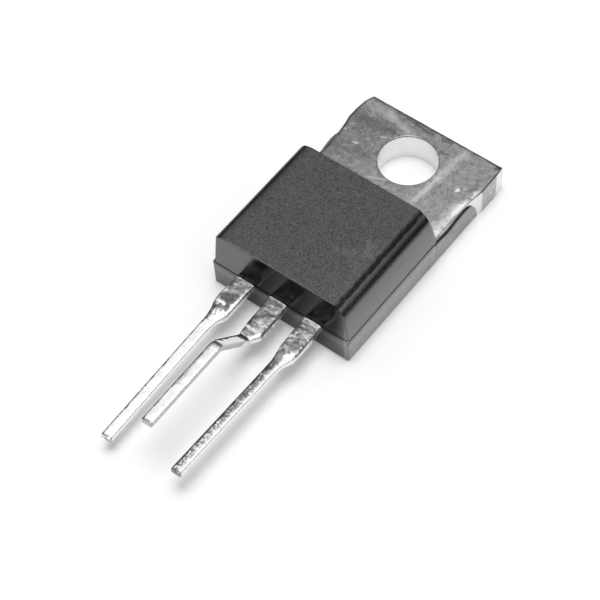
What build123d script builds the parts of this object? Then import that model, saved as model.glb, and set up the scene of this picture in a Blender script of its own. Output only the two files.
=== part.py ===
"""Error amplifier IC: a three-lead moulded package with a metal mounting tab.

Millimetres. The origin is the axis of the mounting hole on the back (mounting) face.
+Z points out of the front face, +Y to the free end of the tab, the leads point to -Y,
and +X is to the right when the front is seen with the leads down.
"""
from build123d import *
import os

# ---- Driving dimensions ------------------------------------------------------------

# Lead frame: one strip rolled in two thicknesses, with a common flat top face.
FRAME_TOP = 2.05            # thickness of the thick zone (tab and die pad)
LEAD_THICKNESS = 0.45       # thickness of the thin zone (the leads)

# Tab
TAB_WIDTH = 10.2
TAB_END_Y = 3.0             # hole axis to the free end
HOLE_DIAMETER = 3.8
HOLE_EDGE_ROUND = 0.05      # on the front only, where the punch went in
TAB_EDGE_ROUND = 0.2        # likewise
NOTCH_START_Y = 0.7         # the sides draw in from here towards the body
NOTCH_FULL_Y = -1.2
NOTCH_DEPTH = 0.24
LEFT_TIE_CUT = (0.34, 1.5)  # where the strip's tie bars were sheared off: across, along
RIGHT_TIE_CUT = (0.08, 0.8)

# Die pad, inside the body
PAD_WIDTH = 8.4
PAD_NECK_Y = -4.9           # the sides step in to the pad here
PAD_END_Y = -10.6
LOCK_STEP = 0.4             # coined step under the pad's edges that keys the plastic
LOCK_STEP_HEIGHT = 0.6

# Body, below the parting plane (which is the plane of the frame's top face)
LOWER_X = (-5.1, 5.07)      # left and right side, at the parting plane
LOWER_NEAR_Y = -13.11
LOWER_FAR_Y = -4.1
LOWER_DRAFT = 0.09          # how much narrower each side is at the bottom
LOWER_CORNER = 0.2
BOTTOM_ROUND = 0.12
LEDGE_ROUND = 0.03

# Body, above the parting plane; its mould half sits a little to the right of the lower one
BODY_HEIGHT = 4.68
BASE_X = (-4.99, 5.03)
TOP_X = (-4.91, 4.62)
BASE_NEAR_Y = -13.05
TOP_NEAR_Y = -12.89
BASE_FAR_Y = -3.9
TOP_FAR_Y = -4.4
NEAR_CORNER = 0.12
FAR_CORNER = 0.42
RIM_WIDTH = 0.6             # a lower rim runs along the right edge of the top
RIM_DROP = 0.15
RIM_STEP_RUN = 0.15         # the step down to the rim is a slope
RIM_ROUND = 0.42
WORN_WIDTH = 0.85           # the left edge of the top is worn to a flat curve
WORN_DROP = 0.3
TOP_ROUND = 0.05

# Rails: thin plastic ribs in the tab's side notches, moulded with the lower half
RAIL_OUTER_X = 5.03
RAIL_HEIGHT = 1.82
RAIL_END_Y = 0.25           # foot of the rounded end
RAIL_SHOULDER_Y = -1.2      # the end's curve reaches the full height here
RAIL_DIP = 0.2              # worn by the trimming of the moulding flash
RAIL_DIP_Y = -2.7

# Leads
LEAD_PITCH = 2.54
STRIP_WIDTH = 3.4           # of the blank that each lead is cut from
CENTRE_LEAD_X = -0.12
WIDE_WIDTH = 1.35
NARROW_WIDTH = 0.7
WIDE_END_Y = -15.2
NARROW_START_Y = -16.25     # the shoulders end here
LEFT_TIP = (-26.27, 1.5)    # tip of each lead: Y, and Z of the top face
CENTRE_TIP = (-25.26, 4.2)
RIGHT_TIP = (-25.97, 2.15)
JOGGLE_START_Y = -16.6      # the centre lead rises from here
JOGGLE_END = (-18.77, 4.28)
JOGGLE_RADIUS = 0.8
DROOP_START_Y = -14.2
DROOP_RADIUS = 8.0

# Bonding posts of the outer leads, inside the body
POST_NEAR_Y = -12.2
POST_FAR_Y = -10.95
POST_INNER_X = 1.55
POST_OUTER_X = 3.95
LOCK_NOTCH_Y = -12.6
LOCK_NOTCH_RADIUS = 0.2

# Die and wires
DIE_SIZE = 1.8
DIE_THICKNESS = 0.3
DIE_Y = -8.2
SOLDER_THICKNESS = 0.06
SOLDER_MARGIN = 0.12
WIRE_DIAMETER = 0.2
WIRE_SIDES = 12             # flats that stand for the wire's round section
WIRE_LOOP_HEIGHT = 0.75     # above the die's top face
WIRE_PAD_X = 0.5
WIRE_PAD_Y = -8.75
WIRE_POST_X = 2.6
WIRE_POST_Y = -11.5

DIE_BOTTOM = FRAME_TOP + SOLDER_THICKNESS
DIE_TOP = DIE_BOTTOM + DIE_THICKNESS


# ---- Helpers -----------------------------------------------------------------------

def block(x_range, y_range, z_range):
    """A box between two X, two Y and two Z levels."""
    size = [high - low for low, high in (x_range, y_range, z_range)]
    centre = [(high + low) / 2 for low, high in (x_range, y_range, z_range)]
    return Pos(*centre) * Box(*size)


def edges_at_level(solid, z, y_range):
    """Edges that lie in the plane Z = z, with their middles between two Y levels."""
    level = solid.edges().filter_by_position(Axis.Z, z - 0.001, z + 0.001)
    return level.filter_by(lambda edge: y_range[0] < (edge @ 0.5).Y < y_range[1])


def rounded_outline(x_range, near_y, far_y, near_radius, far_radius):
    """A rectangle in plan whose two near and two far corners are rounded."""
    left_x, right_x = x_range
    middle = Pos((left_x + right_x) / 2, (near_y + far_y) / 2)
    outline = middle * Rectangle(right_x - left_x, far_y - near_y)
    corners = outline.vertices().sort_by(Axis.Y)
    outline = fillet(corners[:2], near_radius)
    corners = outline.vertices().sort_by(Axis.Y)
    return fillet(corners[-2:], far_radius)


# ---- Tab, die pad and centre lead --------------------------------------------------

def side_of_frame(side, tie_cut):
    """One side of the thick zone in plan, from the free end round to the pad's near end."""
    cut_across, cut_along = tie_cut
    half = TAB_WIDTH / 2
    notch_x = side * (half - NOTCH_DEPTH)
    notch_start = (side * half, NOTCH_START_Y)
    notch_full = (notch_x, NOTCH_FULL_Y)
    cut_start = (side * (half - cut_across), TAB_END_Y)
    cut_middle = (side * (half - 0.3 * cut_across), TAB_END_Y - 0.4 * cut_along)
    cut_end = (side * half, TAB_END_Y - cut_along)
    pad_x = side * PAD_WIDTH / 2
    return (
        Polyline((0, TAB_END_Y), cut_start, cut_middle, cut_end, notch_start)
        + TangentArc(notch_full, notch_start, tangent=(0, 1))
        + Polyline(notch_full, (notch_x, PAD_NECK_Y), (pad_x, PAD_NECK_Y), (pad_x, PAD_END_Y), (0, PAD_END_Y))
    )


def thick_zone():
    """Tab and die pad, with the hole, the rolled edges and the coined lock step."""
    outline = make_face(side_of_frame(-1, LEFT_TIE_CUT) + side_of_frame(1, RIGHT_TIE_CUT))
    plate = extrude(outline, FRAME_TOP)
    plate = fillet(edges_at_level(plate, FRAME_TOP, (LOWER_FAR_Y, TAB_END_Y + 1)), TAB_EDGE_ROUND)
    exposed_half = PAD_WIDTH / 2 - LOCK_STEP
    exposed_end = PAD_END_Y + LOCK_STEP
    step = block((-TAB_WIDTH, TAB_WIDTH), (PAD_END_Y - 1, PAD_NECK_Y), (0, LOCK_STEP_HEIGHT))
    step -= block((-exposed_half, exposed_half), (exposed_end, PAD_NECK_Y), (0, LOCK_STEP_HEIGHT))
    plate -= step
    plate -= Cylinder(HOLE_DIAMETER / 2, 3 * FRAME_TOP)
    front_rim = plate.edges().filter_by(GeomType.CIRCLE).sort_by(Axis.Z)[-1]
    return fillet(front_rim, HOLE_EDGE_ROUND)


def lead_strip(path_points, radii, centre_x):
    """A strip of the thin zone, wider than any lead, bent along a path given in Y and Z."""
    points = [(centre_x, y, z - LEAD_THICKNESS / 2) for y, z in path_points]
    path = FilletPolyline(*points, radius=radii)
    start = Plane(origin=points[0], x_dir=(1, 0, 0), z_dir=(0, -1, 0))
    return sweep(start * Rectangle(STRIP_WIDTH, LEAD_THICKNESS), path)


def lead_plan(centre_x, root_y, tip_y):
    """The lead's outline in plan: wide part, shoulders and narrow part."""
    wide, narrow = WIDE_WIDTH / 2, NARROW_WIDTH / 2
    right = [(wide, root_y), (wide, WIDE_END_Y), (narrow, NARROW_START_Y), (narrow, tip_y)]
    left = [(-x, y) for x, y in reversed(right)]
    return Pos(centre_x, 0) * make_face(Polyline(*right, *left, close=True))


def centre_lead():
    """The lead that is one piece with the die pad, formed up and then level again."""
    tip_y, tip_top = CENTRE_TIP
    path = [(PAD_END_Y, FRAME_TOP), (JOGGLE_START_Y, FRAME_TOP), JOGGLE_END, (tip_y, tip_top)]
    strip = lead_strip(path, JOGGLE_RADIUS, CENTRE_LEAD_X)
    plan = lead_plan(CENTRE_LEAD_X, PAD_END_Y, tip_y)
    return strip & extrude(plan, BODY_HEIGHT + LEAD_THICKNESS)


def tab_and_centre_lead():
    return thick_zone() + centre_lead()


# ---- Outer leads -------------------------------------------------------------------

def outer_lead(side, tip):
    """A lead that ends inside the body in a bonding post, with notches that key the plastic."""
    tip_y, tip_top = tip
    centre_x = CENTRE_LEAD_X + side * LEAD_PITCH
    path = [(POST_FAR_Y, FRAME_TOP), (DROOP_START_Y, FRAME_TOP), (tip_y, tip_top)]
    strip = lead_strip(path, DROOP_RADIUS, centre_x)
    plan = lead_plan(centre_x, POST_NEAR_Y, tip_y)
    inner, outer = sorted((side * POST_INNER_X, side * POST_OUTER_X))
    plan += Pos((inner + outer) / 2, (POST_NEAR_Y + POST_FAR_Y) / 2) * RectangleRounded(
        outer - inner, POST_FAR_Y - POST_NEAR_Y, LOCK_NOTCH_RADIUS)
    for edge in (-1, 1):
        plan -= Pos(centre_x + edge * WIDE_WIDTH / 2, LOCK_NOTCH_Y) * Circle(LOCK_NOTCH_RADIUS)
    return strip & extrude(plan, BODY_HEIGHT)


# ---- Die, its solder and the bond wires --------------------------------------------

def silicon_die():
    return Pos(0, DIE_Y, DIE_BOTTOM + DIE_THICKNESS / 2) * Box(DIE_SIZE, DIE_SIZE, DIE_THICKNESS)


def die_solder():
    size = DIE_SIZE + 2 * SOLDER_MARGIN
    return Pos(0, DIE_Y, FRAME_TOP + SOLDER_THICKNESS / 2) * Box(size, size, SOLDER_THICKNESS)


def bond_wire(side):
    """A loop of wire from the die's top face down to an outer lead's post."""
    crown = DIE_TOP + WIRE_LOOP_HEIGHT
    start = (side * WIRE_PAD_X, WIRE_PAD_Y, DIE_TOP)
    rise = (side * WIRE_PAD_X, WIRE_PAD_Y, crown)
    fall = (side * WIRE_POST_X, WIRE_POST_Y, crown - 0.5 * WIRE_LOOP_HEIGHT)
    end = (side * WIRE_POST_X, WIRE_POST_Y, FRAME_TOP)
    path = FilletPolyline(start, rise, fall, end, radius=0.3)
    section = RegularPolygon(WIRE_DIAMETER / 2, WIRE_SIDES)
    return sweep(Plane(origin=start, z_dir=(0, 0, 1)) * section, path)


# ---- Moulded body ------------------------------------------------------------------

def across_profile():
    """Section across the upper half: drafted sides, the right edge's rounded rim and the worn left edge."""
    rim_level = BODY_HEIGHT - RIM_DROP
    worn_level = BODY_HEIGHT - WORN_DROP
    left_draft, right_draft = ((BASE_X[side] - TOP_X[side]) / (BODY_HEIGHT - FRAME_TOP) for side in (0, 1))
    rim_outer = TOP_X[1] + right_draft * RIM_DROP
    rim_inner = rim_outer - RIM_WIDTH
    worn_start = TOP_X[0] + left_draft * WORN_DROP
    worn_end = worn_start + WORN_WIDTH
    worn_edge = TangentArc((worn_end, BODY_HEIGHT), (worn_start, worn_level), tangent=(-1, 0))
    sides = Polyline((worn_start, worn_level), (BASE_X[0], FRAME_TOP), (BASE_X[1], FRAME_TOP),
                     (rim_outer, rim_level), (rim_inner, rim_level),
                     (rim_inner - RIM_STEP_RUN, BODY_HEIGHT), (worn_end, BODY_HEIGHT))
    outline = make_face(worn_edge + sides)
    return fillet(outline.vertices().filter_by(lambda v: abs(v.X - rim_outer) < 0.001), RIM_ROUND)


def along_profile():
    """Section along the upper half: drafted near and far faces, with softened top edges."""
    outline = make_face(Polyline((BASE_NEAR_Y, FRAME_TOP), (TOP_NEAR_Y, BODY_HEIGHT),
                                 (TOP_FAR_Y, BODY_HEIGHT), (BASE_FAR_Y, FRAME_TOP), close=True))
    top_corners = outline.vertices().filter_by(lambda v: v.Y > FRAME_TOP + 1)
    return fillet(top_corners, TOP_ROUND)


def upper_half():
    """The drafted block above the parting plane."""
    base = rounded_outline(BASE_X, BASE_NEAR_Y, BASE_FAR_Y, NEAR_CORNER, FAR_CORNER)
    top = rounded_outline(TOP_X, TOP_NEAR_Y, TOP_FAR_Y, NEAR_CORNER, FAR_CORNER)
    block_with_corners = loft([Pos(0, 0, FRAME_TOP) * base, Pos(0, 0, BODY_HEIGHT) * top])
    across = extrude(Plane.XZ * across_profile(), -LOWER_NEAR_Y, both=True)
    along = extrude(Plane.YZ * along_profile(), TAB_WIDTH, both=True)
    return block_with_corners & across & along


def lower_half():
    """The block below the parting plane, drafted the other way and rounded at the bottom."""
    top = rounded_outline(LOWER_X, LOWER_NEAR_Y, LOWER_FAR_Y, LOWER_CORNER, LOWER_CORNER)
    base_x = (LOWER_X[0] + LOWER_DRAFT, LOWER_X[1] - LOWER_DRAFT)
    base = rounded_outline(base_x, LOWER_NEAR_Y + LOWER_DRAFT, LOWER_FAR_Y - LOWER_DRAFT, LOWER_CORNER, LOWER_CORNER)
    half = loft([base, Pos(0, 0, FRAME_TOP) * top])
    half = fillet(edges_at_level(half, 0, (LOWER_NEAR_Y - 1, 0)), BOTTOM_ROUND)
    return fillet(edges_at_level(half, FRAME_TOP, (LOWER_NEAR_Y - 1, 0)), LEDGE_ROUND)


def rail(side):
    """A thin rib along one edge of the tab, with a rounded free end and a slight dip along its top."""
    middle = ((RAIL_END_Y + RAIL_SHOULDER_Y) / 2 + 0.3, 0.78 * RAIL_HEIGHT)
    end, shoulder = (RAIL_END_Y, 0), (RAIL_SHOULDER_Y, RAIL_HEIGHT)
    dip = (RAIL_DIP_Y, RAIL_HEIGHT - RAIL_DIP)
    root_top, inner_top, inner_foot = (LOWER_FAR_Y, RAIL_HEIGHT), (PAD_NECK_Y, RAIL_HEIGHT), (PAD_NECK_Y, 0)
    outline = (ThreePointArc(end, middle, shoulder) + ThreePointArc(shoulder, dip, root_top)
               + Polyline(root_top, inner_top, inner_foot, end))
    rib = extrude(Plane.YZ * make_face(outline), side * RAIL_OUTER_X)
    inner = TAB_WIDTH / 2 - NOTCH_DEPTH - 0.2
    return rib - block((-inner, inner), (-20, 5), (-1, 5))


def moulded_body(inner_pieces):
    """The epoxy, moulded round the frame, the die and the wires."""
    body = upper_half() + lower_half() + rail(-1) + rail(1)
    for piece in inner_pieces:
        body -= piece
    return body


# ---- Output ------------------------------------------------------------------------

def build():
    pieces = {
        "tab_and_centre_lead": tab_and_centre_lead(),
        "left_lead": outer_lead(-1, LEFT_TIP),
        "right_lead": outer_lead(1, RIGHT_TIP),
        "silicon_die": silicon_die(),
        "die_solder": die_solder(),
        "left_bond_wire": bond_wire(-1),
        "right_bond_wire": bond_wire(1),
    }
    pieces["moulded_body"] = moulded_body(list(pieces.values()))
    return pieces


os.makedirs("parts", exist_ok=True)
for name, solid in build().items():
    export_step(solid, f"parts/{name}.step")
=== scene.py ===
"""Looks of an error amplifier IC: a three-lead moulded package with a metal mounting tab.

Metres, in the part's own frame: the origin is the axis of the mounting hole on the back face,
+Z points out of the front face, +Y to the free end of the tab, and the leads point to -Y.
"""
import itertools
import math

import bpy
import numpy as np
from bpy.props import FloatProperty, FloatVectorProperty, PointerProperty
from bpy.types import Operator, Panel, PropertyGroup
from mathutils import Matrix, Vector


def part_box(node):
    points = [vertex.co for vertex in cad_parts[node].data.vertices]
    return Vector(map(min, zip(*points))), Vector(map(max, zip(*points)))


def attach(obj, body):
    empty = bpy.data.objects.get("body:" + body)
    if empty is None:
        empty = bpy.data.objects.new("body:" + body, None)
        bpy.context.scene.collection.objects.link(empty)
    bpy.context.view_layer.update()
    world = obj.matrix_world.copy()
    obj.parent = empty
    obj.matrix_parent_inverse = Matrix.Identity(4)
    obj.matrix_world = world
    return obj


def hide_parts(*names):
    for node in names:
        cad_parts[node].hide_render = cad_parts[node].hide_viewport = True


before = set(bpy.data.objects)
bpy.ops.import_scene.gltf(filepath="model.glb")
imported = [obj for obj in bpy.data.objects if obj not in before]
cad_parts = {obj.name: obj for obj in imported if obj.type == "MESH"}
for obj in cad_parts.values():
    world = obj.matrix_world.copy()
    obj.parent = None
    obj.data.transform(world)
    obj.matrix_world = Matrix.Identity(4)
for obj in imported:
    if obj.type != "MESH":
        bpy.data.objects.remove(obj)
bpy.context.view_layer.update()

bl_info = {
    "name": "Three-lead power package",
    "version": (1, 0, 0),
    "blender": (4, 5, 0),
    "location": "View3D > Sidebar > Package",
    "description": "Builds the finish and the studio of a three-lead moulded package with a mounting tab",
    "category": "Object",
}

MM = 0.001
BODY_LOW, BODY_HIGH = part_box("moulded_body")
FRAME_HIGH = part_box("tab_and_centre_lead")[1]
FRAME_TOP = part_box("left_lead")[1].z    # the top plane of the lead frame is the mould's parting plane


# ---- Settings ----------------------------------------------------------------------

def length(name, default, description):
    """A length in metres that a user may change."""
    return FloatProperty(name=name, description=description, default=default, min=0.0, precision=5,
                         unit="LENGTH")


def colour(name, default, description):
    """A colour that a user may change."""
    return FloatVectorProperty(name=name, description=description, default=default, min=0.0, max=1.0,
                               size=3, subtype="COLOR")


class PackageBodySettings(PropertyGroup):
    lower_draft: length("Lower draft", 0.05 * MM, "How much each side of the lower half draws in at its foot")
    near_inset: length("Near inset", 0.16 * MM, "How much the near face leans in over its height")
    far_inset: length("Far inset", 0.38 * MM, "How much the far face leans in over its height")
    rim_width: length("Rim width", 0.84 * MM, "Width of the lower rim along the right edge")
    rim_drop: length("Rim drop", 0.21 * MM, "How far the rim lies under the rest of the top")
    rim_round: length("Rim round", 0.80 * MM, "Radius of the right top edge")
    worn_width: length("Worn edge's width", 1.0 * MM, "How far the left top edge's rounding reaches in")
    worn_drop: length("Worn edge's drop", 0.42 * MM, "How far the left top edge lies under the top")
    top_round: length("End round", 0.025 * MM, "Radius of the short top edges")
    epoxy: colour("Epoxy", (0.006, 0.006, 0.006), "Colour of the moulding compound")


class PackageFrameSettings(PropertyGroup):
    tab_round: length("Tab edge roll", 0.2 * MM, "Radius that the punch rolled on the tab's front edges")
    notch_round: length("Notch edge roll", 0.5 * MM, "How far in the roll reaches along the notches")
    lead_thickness: length("Lead thickness", 0.45 * MM, "Thickness of the thin zone of the strip")
    wide_width: length("Wide part", 1.35 * MM, "Width of each lead next to the body")
    narrow_width: length("Narrow part", 0.7 * MM, "Width of each lead towards its tip")
    solder_lumps: length("Solder lumps", 0.035 * MM, "Height of the lumps that the solder dip left")
    narrow_lumps: FloatProperty(name="Narrow part's lumps", default=0.18, min=0.0, max=1.0, subtype="FACTOR",
                                description="Share of the lumps' height that is left on the narrow parts")
    tab_metal: colour("Tab", (0.184, 0.184, 0.182), "Colour of the dull tinned tab")
    sheared_metal: colour("Sheared metal", (0.80, 0.80, 0.79), "Colour of the tab's cut sides and hole")
    solder: colour("Solder", (0.86, 0.86, 0.85), "Colour of the solder dip on the leads")


class PackageStageSettings(PropertyGroup):
    azimuth: FloatProperty(name="Azimuth", description="Turn of the camera about +Z, from looking along +Y",
                           default=math.radians(38.98), subtype="ANGLE", unit="ROTATION")
    elevation: FloatProperty(name="Elevation", description="Height of the camera over the floor",
                             default=math.radians(55.2), subtype="ANGLE", unit="ROTATION")
    roll: FloatProperty(name="Roll", description="Turn of the camera about its own axis",
                        default=math.radians(-2.53), subtype="ANGLE", unit="ROTATION")
    distance: length("Distance", 158.1 * MM, "From the camera to the point that it looks at")
    lens: FloatProperty(name="Lens", description="Focal length of the camera in millimetres", default=156.82)
    lamp_height: length("Lamp height", 500 * MM, "Height of the lamp over the floor")
    lamp_width: length("Lamp width", 300 * MM, "Width of the round lamp")
    lamp_power: FloatProperty(name="Lamp power", description="Power of the lamp in watts", default=1.6,
                              unit="POWER")
    sky_level: FloatProperty(name="Sky level", description="Brightness of the studio overhead", default=0.9)
    floor: colour("Floor", (0.85, 0.85, 0.85), "Colour of the floor")


# ---- Numbers on surfaces -----------------------------------------------------------

# Whole numbers that scatter the X, Y and Z of a cube's corner, the seed, and then the mix of them all.
CORNER_FACTORS, SEED_FACTOR, MIX_FACTOR = (73856093, 19349663, 83492791), 2654435761, 1274126177
LARGEST_DRAW = 0xFFFFF


def smooth_noise(points, cell, seed):
    """Noise from 0 to 1: scattered values at the corners of cubes of side `cell`, blended between them."""
    position = points / cell
    corner = np.floor(position).astype(np.int64)
    share = position - corner
    share = share * share * (3 - 2 * share)
    total = np.zeros(points.shape[:-1])
    for step in itertools.product((0, 1), repeat=3):
        x, y, z = np.moveaxis((corner + np.array(step)) * CORNER_FACTORS, -1, 0)
        mixed = x ^ y ^ z ^ (seed * SEED_FACTOR)
        mixed = (mixed ^ (mixed >> 13)) * MIX_FACTOR & 0x7FFFFFFF
        mixed = (mixed ^ (mixed >> 15)) & LARGEST_DRAW
        weight = np.where(np.array(step) == 1, share, 1 - share).prod(axis=-1)
        total += weight * mixed / LARGEST_DRAW
    return total


def layered_noise(points, cell, seed, layers=3):
    """Noise from -1 to 1: layers of smooth_noise, each half as coarse and half as strong as the last."""
    total, strength = 0.0, 0.0
    for layer in range(layers):
        total = total + smooth_noise(points, cell / 2 ** layer, seed + layer) / 2 ** layer
        strength += 1 / 2 ** layer
    return 2 * total / strength - 1


def ease(value, start, end):
    """0 up to start, 1 from end on, and an S-curve between them. The end may be the lower of the two."""
    t = np.clip((value - start) / (end - start), 0, 1)
    return t * t * (3 - 2 * t)


def signed_power(wave, power):
    """A wave whose size is raised to a power and whose sign is kept. Under 1, it squares a circle up."""
    return np.sign(wave) * np.abs(wave) ** power


# ---- Meshes ------------------------------------------------------------------------

def ring_quads(rows, columns, first, closed_rows):
    """Quads of a grid whose columns close into a ring, as rows of four point numbers."""
    last = rows if closed_rows else rows - 1
    row, column = np.meshgrid(np.arange(last), np.arange(columns), indexing="ij")
    above, right = (row + 1) % rows, (column + 1) % columns
    quads = np.stack([row * columns + column, row * columns + right,
                      above * columns + right, above * columns + column], axis=-1)
    return quads.reshape(-1, 4) + first


def add_shell(parts, grid, material=0, closed_rows=False):
    """Adds a closed shell to parts: a grid (rows, columns, 3) of rings, fanned shut at its two ends.

    With closed_rows the last ring joins the first one instead.
    """
    rows, columns = grid.shape[:2]
    first = sum(len(part[0]) for part in parts)
    points = grid.reshape(-1, 3)
    faces = ring_quads(rows, columns, first, closed_rows).tolist()
    if not closed_rows:
        points = np.concatenate([points, [grid[0].mean(axis=0), grid[-1].mean(axis=0)]])
        column = np.arange(columns)
        right = (column + 1) % columns
        foot, head = first + rows * columns, first + rows * columns + 1
        low, high = first, first + (rows - 1) * columns
        faces += np.stack([np.full(columns, foot), low + right, low + column], axis=-1).tolist()
        faces += np.stack([np.full(columns, head), high + column, high + right], axis=-1).tolist()
    parts.append((points, faces, material))


def make_piece(name, parts, materials, nodes):
    """One mesh object from the shells in parts, which rides on the root and replaces the CAD nodes named."""
    mesh = bpy.data.meshes.new(name)
    points = np.concatenate([part[0] for part in parts])
    faces = [face for part in parts for face in part[1]]
    mesh.from_pydata(points.tolist(), [], faces)
    index = np.concatenate([np.full(len(part[1]), part[2]) for part in parts])
    mesh.polygons.foreach_set("material_index", index.astype(np.int32))
    mesh.polygons.foreach_set("use_smooth", np.ones(len(faces), bool))
    for material in materials:
        mesh.materials.append(material)
    mesh.update()
    piece = bpy.data.objects.new(name, mesh)
    bpy.context.scene.collection.objects.link(piece)
    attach(piece, "root")
    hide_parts(*nodes)
    return piece


# ---- Outlines and paths ------------------------------------------------------------

def raised(plan, level):
    """Points in plan with a Z added: the same for all of them, or an array of one for each."""
    return np.concatenate([plan, np.broadcast_to(level, plan.shape[:-1])[..., None]], axis=-1)


def plan_rings(half_width, near_y, far_y, radii, end_shares, side_shares, corner_steps):
    """Rounded rectangles in plan, one for each row of the first three arrays.

    They run counter-clockwise from the near right corner. Every corner is an arc about its own centre, with
    its own radius, and between two arcs a point divides the straight line by its share.
    """
    quarter = np.linspace(0, math.pi / 2, corner_steps)
    corner_x = np.array([1, 1, -1, -1])
    rings = []
    starts = np.radians([-90, 0, 90, 180])
    column = half_width[:, None], near_y[:, None], far_y[:, None]

    def on_corner(corner, angle):
        radius = radii[corner]
        middle_x = corner_x[corner] * (column[0] - radius)
        middle_y = column[1] + radius if corner in (0, 3) else column[2] - radius
        return np.stack([middle_x + radius * np.cos(angle), middle_y + radius * np.sin(angle)], axis=-1)

    for corner, shares in enumerate((side_shares, end_shares, side_shares, end_shares)):
        rings.append(on_corner(corner, starts[corner] + quarter[None, :]))
        leave = on_corner(corner, starts[corner] + quarter[-1:][None, :])
        reach = on_corner((corner + 1) % 4, starts[(corner + 1) % 4] + quarter[:1][None, :])
        rings.append(leave + (reach - leave) * shares[None, :, None])
    return np.concatenate(rings, axis=1)


def bent_path(corners, radii, step):
    """Points (Y, Z) and tangents along straight runs joined by tangent arcs, about `step` apart."""
    corners = np.array(corners, float)
    pieces, at = [], corners[0]
    for before, corner, after, radius in zip(corners[:-2], corners[1:-1], corners[2:], radii):
        into = (corner - before) / np.linalg.norm(corner - before)
        out = (after - corner) / np.linalg.norm(after - corner)
        turn = math.atan2(into[0] * out[1] - into[1] * out[0], into @ out)
        reach = radius * math.tan(abs(turn) / 2)
        start, end = corner - into * reach, corner + out * reach
        pieces.append(run_points(at, start, step))
        side = math.copysign(1, turn) * np.array([-into[1], into[0]])
        centre = start + side * radius
        angles = np.linspace(0, turn, max(4, int(abs(turn) * radius / step * 2)))[1:-1, None]
        arm = start - centre
        pieces.append(centre + arm * np.cos(angles) + np.array([-arm[1], arm[0]]) * np.sin(angles))
        at = end
    pieces.append(run_points(at, corners[-1], step))
    pieces.append(corners[-1:])
    points = np.concatenate(pieces)
    tangents = np.gradient(points, axis=0)
    return points, tangents / np.linalg.norm(tangents, axis=1, keepdims=True)


def run_points(start, end, step):
    """Points along a straight run from start, without its end."""
    count = max(2, int(np.linalg.norm(end - start) / step))
    return start + (end - start) * np.linspace(0, 1, count, endpoint=False)[:, None]


# ---- Node helpers ------------------------------------------------------------------

class Nodes:
    """Adds and links nodes in one tree. Apart from add, the methods return the output of their node."""

    def __init__(self, tree):
        self.tree = tree

    def feed(self, socket, value):
        """Links the socket to another node's output, or sets it to a plain value."""
        if isinstance(value, bpy.types.NodeSocket):
            self.tree.links.new(value, socket)
        else:
            socket.default_value = value

    def add(self, kind, inputs=(), **settings):
        """A new node, its settings first, and then its inputs."""
        node = self.tree.nodes.new(kind)
        for key, value in settings.items():
            setattr(node, key, value)
        for key, value in dict(inputs).items():
            self.feed(node.inputs[key], value)
        return node

    def place(self):
        """The object's own coordinates, which are the part's frame in metres."""
        return self.add("ShaderNodeTexCoord").outputs["Object"]

    def split(self, vector):
        """The X, Y and Z of a vector."""
        return self.add("ShaderNodeSeparateXYZ", {0: vector}).outputs

    def math(self, operation, first, second=0.0, clamp=False):
        """An operation on two values."""
        node = self.add("ShaderNodeMath", {0: first, 1: second}, operation=operation, use_clamp=clamp)
        return node.outputs[0]

    def times(self, *factors):
        """The product of all the factors."""
        product = factors[0]
        for factor in factors[1:]:
            product = self.math("MULTIPLY", product, factor)
        return product

    def highest(self, *values):
        """The highest of all the values."""
        top = values[0]
        for value in values[1:]:
            top = self.math("MAXIMUM", top, value)
        return top

    def inverse(self, share):
        """1 less the share."""
        return self.math("SUBTRACT", 1.0, share)

    def vector(self, operation, first, second):
        """An operation on two vectors, which gives a value or a vector."""
        node = self.add("ShaderNodeVectorMath", {0: first, 1: second}, operation=operation)
        return node.outputs["Value" if operation in ("DOT_PRODUCT", "DISTANCE") else "Vector"]

    def scale(self, vector, factor):
        """The vector times a number."""
        node = self.add("ShaderNodeVectorMath", {0: vector, "Scale": factor}, operation="SCALE")
        return node.outputs["Vector"]

    def ramp(self, value, low, high, out_low=0.0, out_high=1.0):
        """An eased ramp: out_low up to low, and out_high from high on. High may be the lower of the two."""
        node = self.add("ShaderNodeMapRange", {"Value": value, "From Min": low, "From Max": high,
                                               "To Min": out_low, "To Max": out_high},
                        interpolation_type="SMOOTHSTEP")
        return node.outputs["Result"]

    def zone(self, coordinate, low, high, out_low=0.0, out_high=1.0):
        """A ramp along a coordinate, between two places in millimetres."""
        return self.ramp(coordinate, low * MM, high * MM, out_low, out_high)

    def fade(self, share, at_none, at_full):
        """A ramp from one value, where the share is 0, to another, where it is 1."""
        return self.ramp(share, 0.0, 1.0, at_none, at_full)

    def band(self, value, middle, reach, full):
        """1 where the value is within `full` of the middle, and 0 from `reach` on."""
        return self.ramp(self.math("ABSOLUTE", self.math("SUBTRACT", value, middle)), reach, full)

    def mix(self, factor, first, second):
        """A blend of two colours, each of them three numbers or a node's output."""
        node = self.add("ShaderNodeMix", {"Factor": factor}, data_type="RGBA")
        for key, colour_or_output in ((6, first), (7, second)):
            plain = isinstance(colour_or_output, tuple)
            self.feed(node.inputs[key], (*colour_or_output, 1.0) if plain else colour_or_output)
        return node.outputs[2]

    def mix_values(self, factor, first, second):
        """A blend of two values."""
        return self.add("ShaderNodeMix", {"Factor": factor, 2: first, 3: second}).outputs[0]

    def noise(self, vector, scale, detail=4.0, roughness=0.55, distortion=0.0):
        """Cloudy noise, 0 to 1."""
        node = self.add("ShaderNodeTexNoise", {"Vector": vector, "Scale": scale, "Detail": detail,
                                               "Roughness": roughness, "Distortion": distortion})
        return node.outputs["Fac"]


def grey(level):
    """A neutral colour."""
    return (level, level, level)


def scaled(base, factor):
    """A colour times a number, at most 1."""
    return tuple(min(1.0, factor * level) for level in base)


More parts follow.
